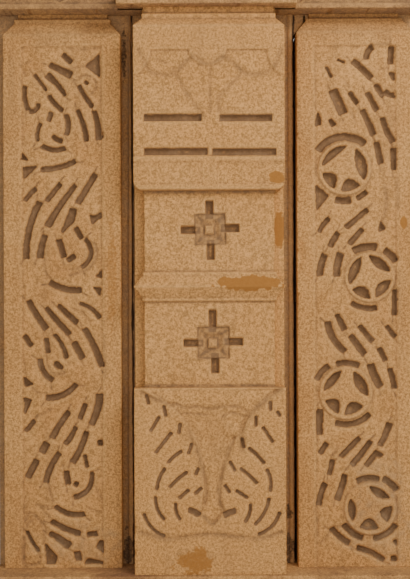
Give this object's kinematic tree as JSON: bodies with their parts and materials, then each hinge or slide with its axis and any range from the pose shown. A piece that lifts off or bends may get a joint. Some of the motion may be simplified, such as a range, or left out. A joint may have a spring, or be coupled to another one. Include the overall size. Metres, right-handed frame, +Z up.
{
  "type": "stone relief panel",
  "caption": "Carved sandstone wall panel: a moulded pilaster with a leafy vase between a scroll slab and a slab of star roundels, under a cornice and on a ledge.",
  "frame": {"origin": "middle of the flat underside of the ledge course", "axes": "+Z up, the carved front faces -Y, +X to the right of someone looking at the front"},
  "size_m": [1.043, 0.22, 1.44],
  "materials": {
    "scroll_stone": "fine grained tan sandstone, worn, dust in the slots",
    "pilaster_stone": "fine grained tan sandstone with orange iron stains",
    "star_stone": "fine grained tan sandstone, grey-green bloom low down",
    "cornice_stone": "tan sandstone, darker under the soffit",
    "ledge_stone": "brown weathered sandstone"
  },
  "bodies": {
    "root": {"scroll_slab": "scroll_stone", "pilaster": "pilaster_stone", "star_slab": "star_stone", "cornice": "cornice_stone", "ledge": "ledge_stone"}
  },
  "joints": []
}
